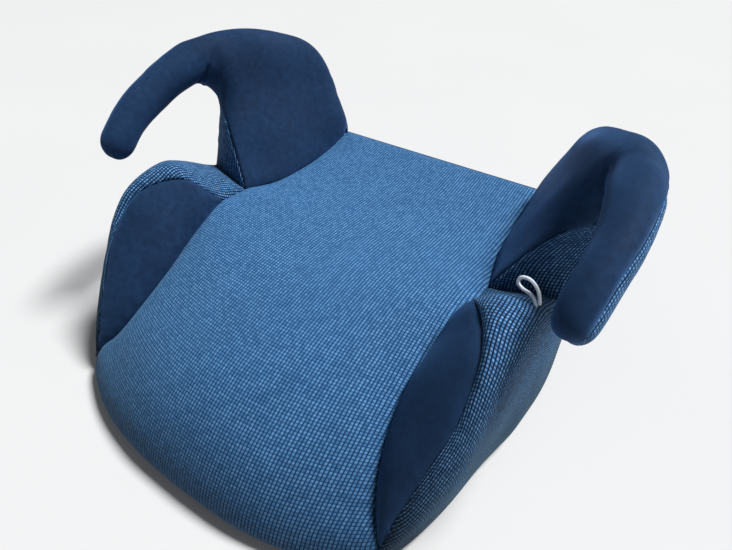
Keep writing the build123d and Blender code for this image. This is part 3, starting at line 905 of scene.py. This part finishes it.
def make_hem():
    """Elasticated hem, gathered round the cover's lower edge under the seat."""
    phase = np.arange(HEM_POINTS) * 2 * math.pi / HEM_POINTS
    gather = np.sin(phase * 97 + 2.2 * np.sin(phase * 7))
    gather += 0.6 * np.sin(phase * 61 + 1.3 * np.sin(phase * 11))
    rows = []
    for reach, height in HEM_PROFILE:
        swing = HEM_SWING * min(max(reach, 0) / 20, 1)
        row = lower_edge + inwards * (reach + 0.5 * swing * np.cos(phase * 83))[:, None]
        row[:, 2] = np.maximum(height + swing * gather * 0.9, HEM_LOWEST)
        rows.append(row)
    hem = mesh_object("elastic_hem", *loft(lengthen(np.array(rows)), ends=False), HEM_ELASTIC)
    thicken(hem, HEM_THICKNESS, 0)
    finish_piece(hem, "hem_elastic", "hem")


# Foam block: its underside, its top under the armrests, the gap under the cover, the inset from the
# cover's lower edge, and its base's shares of the outline with their heights over the underside
FOAM_FLOOR, FOAM_UNDER_ARMS, FOAM_GAP, FOAM_INSET = 5.0, 90.0, 12.0, 3.5
FOAM_BASE = ((0.02, 0), (0.4, 0), (0.8, 0), (0.98, 0), (0.995, 1), (1.0, 3))
FOAM_POINTS, FOAM_RINGS = 240, 34
OVER_FOAM = ("seat_panel", "left_bolster_inset", "left_side_panel", "right_bolster_inset", "right_side_panel")


def tree_of(panel):
    """Search tree of a panel's faces, where repeated corners are left out."""
    faces = [list(dict.fromkeys(face)) for face in panel.faces.tolist()]
    return BVHTree.FromPolygons(panel.xyz.tolist(), faces)


def make_foam():
    """Moulded foam block, from the hem's inside up to the underside of the wadding."""
    trees = [tree_of(panels[name]) for name in OVER_FOAM]

    def top(x, y):
        found = [tree.ray_cast(Vector((x, y, 300)), Vector((0, 0, -1)))[0] for tree in trees]
        heights = [hit.z for hit in found if hit]
        return max(max(heights) - FOAM_GAP, FOAM_FLOOR + 3) if heights else FOAM_UNDER_ARMS

    outline = even_loop(lower_edge - inwards * FOAM_INSET, FOAM_POINTS)
    crown = outline * np.linspace(1, 0.02, FOAM_RINGS)[:, None, None]
    height = np.array([[top(x, y) for x, y, _ in ring] for ring in crown])
    for _ in range(2):
        around = [np.roll(height, 1, axis=1), np.roll(height, -1, axis=1)]
        around += [np.concatenate([height[1:], height[-1:]]), np.concatenate([height[:1], height[:-1]])]
        height = np.min([height, *around], axis=0)
    for _ in range(3):
        height = (np.roll(height, 1, axis=1) + height * 2 + np.roll(height, -1, axis=1)) / 4
    crown[..., 2] = height
    base = np.array([outline * (share, share, 0) + (0, 0, FOAM_FLOOR + rise) for share, rise in FOAM_BASE])
    walls = [crown[0] * (1, 1, 1 - share) + base[-1] * (0, 0, share) for share in (0.8, 0.6, 0.4, 0.2)]
    foam = mesh_object("moulded_foam_block", *loft(np.concatenate([base, walls, crown])), FOAM)
    finish_piece(foam, "foam", "foam_block")


CORE_INSET = 8.0  # inside the covers
CORE_SETBACK = 11.0  # behind the throat gusset
CORE_POINTS = 40
CORE_ROOT = (-3.0, 16.0, 1.0)  # one more ring, which runs the horn on into the upright


def inset_rows(rings):
    """Rings as even points, drawn in towards their middles."""
    rows = []
    for ring in rings:
        ring = even_loop(ring, CORE_POINTS)
        ring = np.roll(ring, -np.argmin(ring[:, 2] - 0.01 * ring[:, 0]), axis=0)
        middle = ring.mean(0)
        reach = np.linalg.norm(ring - middle, axis=1, keepdims=True)
        rows.append(middle + (ring - middle) * np.maximum(1 - CORE_INSET / reach, 0.2))
    return lengthen(np.array(rows))


def make_core(hand, side):
    """Foam core of one armrest, a little inside its covers: the horn, and the upright it runs into."""
    taller = int(side < 0)
    round_horn = np.linspace(270, -90, CORE_POINTS, endpoint=False)
    horn = list(horn_rows(round_horn, taller)[len(TIP_TURNS):])
    horn.append(horn[-1] + CORE_ROOT)
    high, low, outer_high, outer_low = net(INNER_HIGH), net(INNER_LOW), net(OUTER_HIGH), net(OUTER_LOW)
    high[..., 2] += taller * np.outer(TALLER_ROWS, TALLER_COLUMNS)
    upright = []
    for row in range(2, len(low) - 1):
        ring = [low[row], high[row + 2][1:], outer_high[row + 2][1:], outer_low[row][1:]]
        ring = np.concatenate(ring)
        ring[:, 1] += np.interp(ring[:, 2], (100, 160, 185), (1, 1, 0)) * 2 * CORE_SETBACK / row
        upright.append(ring)
    (first, first_faces), (second, second_faces) = loft(inset_rows(horn)), loft(inset_rows(upright))
    points = np.concatenate([first, second]) * (side, 1, 1)
    faces = np.concatenate([first_faces, second_faces + len(first)])
    finish_piece(mesh_object(hand + "_armrest_foam", points, faces, FOAM), "foam", hand + "_armrest_core")


WADDING_MIDDLE, WADDING_HALF_LENGTH, WADDING_HALF_WIDTH = 37, 147, 104
# How deep its edge lies under the seat panel and how plump it is, on top and underneath
WADDING_DEPTH, WADDING_PLUMP = (6.5, 6.6), (2.6, 2.8)


def make_wadding():
    """Loose wadding between the seat panel and the foam."""
    near = (np.abs(seat[..., 1] - WADDING_MIDDLE) < WADDING_HALF_LENGTH).all(axis=1)
    rows = np.flatnonzero(near)[[0, -1]]
    columns = np.flatnonzero(np.abs(seat[len(seat) // 2, :, 0]) < WADDING_HALF_WIDTH)[[0, -1]]
    above = seat[rows[0]:rows[1] + 1:2, columns[0]:columns[1] + 1:2].copy()
    below = above.copy()
    soft = [np.sqrt(1 - np.abs(np.linspace(-1, 1, count)) ** 8) for count in above.shape[:2]]
    height = soft[0][:, None] * soft[1]
    above[..., 2] -= WADDING_DEPTH[0] - WADDING_PLUMP[0] * height
    below[..., 2] -= WADDING_DEPTH[1] + WADDING_PLUMP[1] * height
    index = np.arange(height.size).reshape(height.shape)
    ring = np.concatenate([index[0, :-1], index[:-1, -1], index[-1, :0:-1], index[:0:-1, 0]])
    after = np.roll(ring, -1)
    side = np.stack([ring + height.size, after + height.size, after, ring], axis=-1)
    top = np.stack([index[:-1, :-1], index[:-1, 1:], index[1:, 1:], index[1:, :-1]], axis=-1).reshape(-1, 4)
    points = np.concatenate([above.reshape(-1, 3), below.reshape(-1, 3)])
    faces = np.concatenate([top, side, top[:, ::-1] + height.size])
    wadding = mesh_object("seat_wadding", points, faces, WADDING)
    finish_piece(wadding, "wadding", "seat_pad")


def dress_bar():
    """The bar shows nowhere, so it stays the frame's own, in steel."""
    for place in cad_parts["reinforcement_bar"].material_slots:
        place.material = BAR_STEEL


make_hem()
make_foam()
make_wadding()
for hand, side in (("left", 1), ("right", -1)):
    make_core(hand, side)
dress_bar()

# -------------------- stage

FLOOR_REACH = 40.0  # metres
WORLD_COLOUR, WORLD_STRENGTH = (0.93, 0.96, 1.0, 1), 0.12
LIT_PLACE = Vector((0, 0, 0.1))
# Name, kind, place in metres, angle across in degrees or width in metres, strength
LAMPS = (
    ("key", "SUN", (0.65, 0.85, 1.8), 16.0, 5.2),
    ("fill", "AREA", (0.1, -1.3, 1.8), 1.2, 2.5),
)


def make_floor():
    """Plain pale floor."""
    reach = FLOOR_REACH
    corners = [(-reach, -reach, 0), (reach, -reach, 0), (reach, reach, 0), (-reach, reach, 0)]
    ground = bpy.data.meshes.new("floor")
    ground.from_pydata(corners, [], [(0, 1, 2, 3)])
    paper = Shader("floor", roughness=0.9)
    tone = paper.noise(paper.add("TexCoord", output=3), 3.0)
    pale = paper.blend(tone, colour(0.56, 0.563, 0.567), colour(0.59, 0.59, 0.59))
    paper.feed(paper.surface.inputs["Base Color"], pale)
    ground.materials.append(paper.material)
    floor = bpy.data.objects.new("floor", ground)
    bpy.context.scene.collection.objects.link(floor)


def make_lights():
    """Soft key from above, behind and the sitter's left, a weak fill from the front, and a dim sky."""
    world = bpy.data.worlds.new("world")
    world.use_nodes = True
    sky = world.node_tree.nodes["Background"]
    sky.inputs["Color"].default_value = WORLD_COLOUR
    sky.inputs["Strength"].default_value = WORLD_STRENGTH
    bpy.context.scene.world = world
    for name, kind, place, size, power in LAMPS:
        light = bpy.data.lights.new(name, kind)
        light.energy = power
        if kind == "SUN":
            light.angle = math.radians(size)
        else:
            light.size = size
        lamp = bpy.data.objects.new(name, light)
        lamp.location = place
        lamp.rotation_euler = (LIT_PLACE - Vector(place)).to_track_quat("-Z", "Y").to_euler()
        bpy.context.scene.collection.objects.link(lamp)


make_camera()
make_floor()
make_lights()
bpy.context.scene.view_settings.view_transform = "Standard"
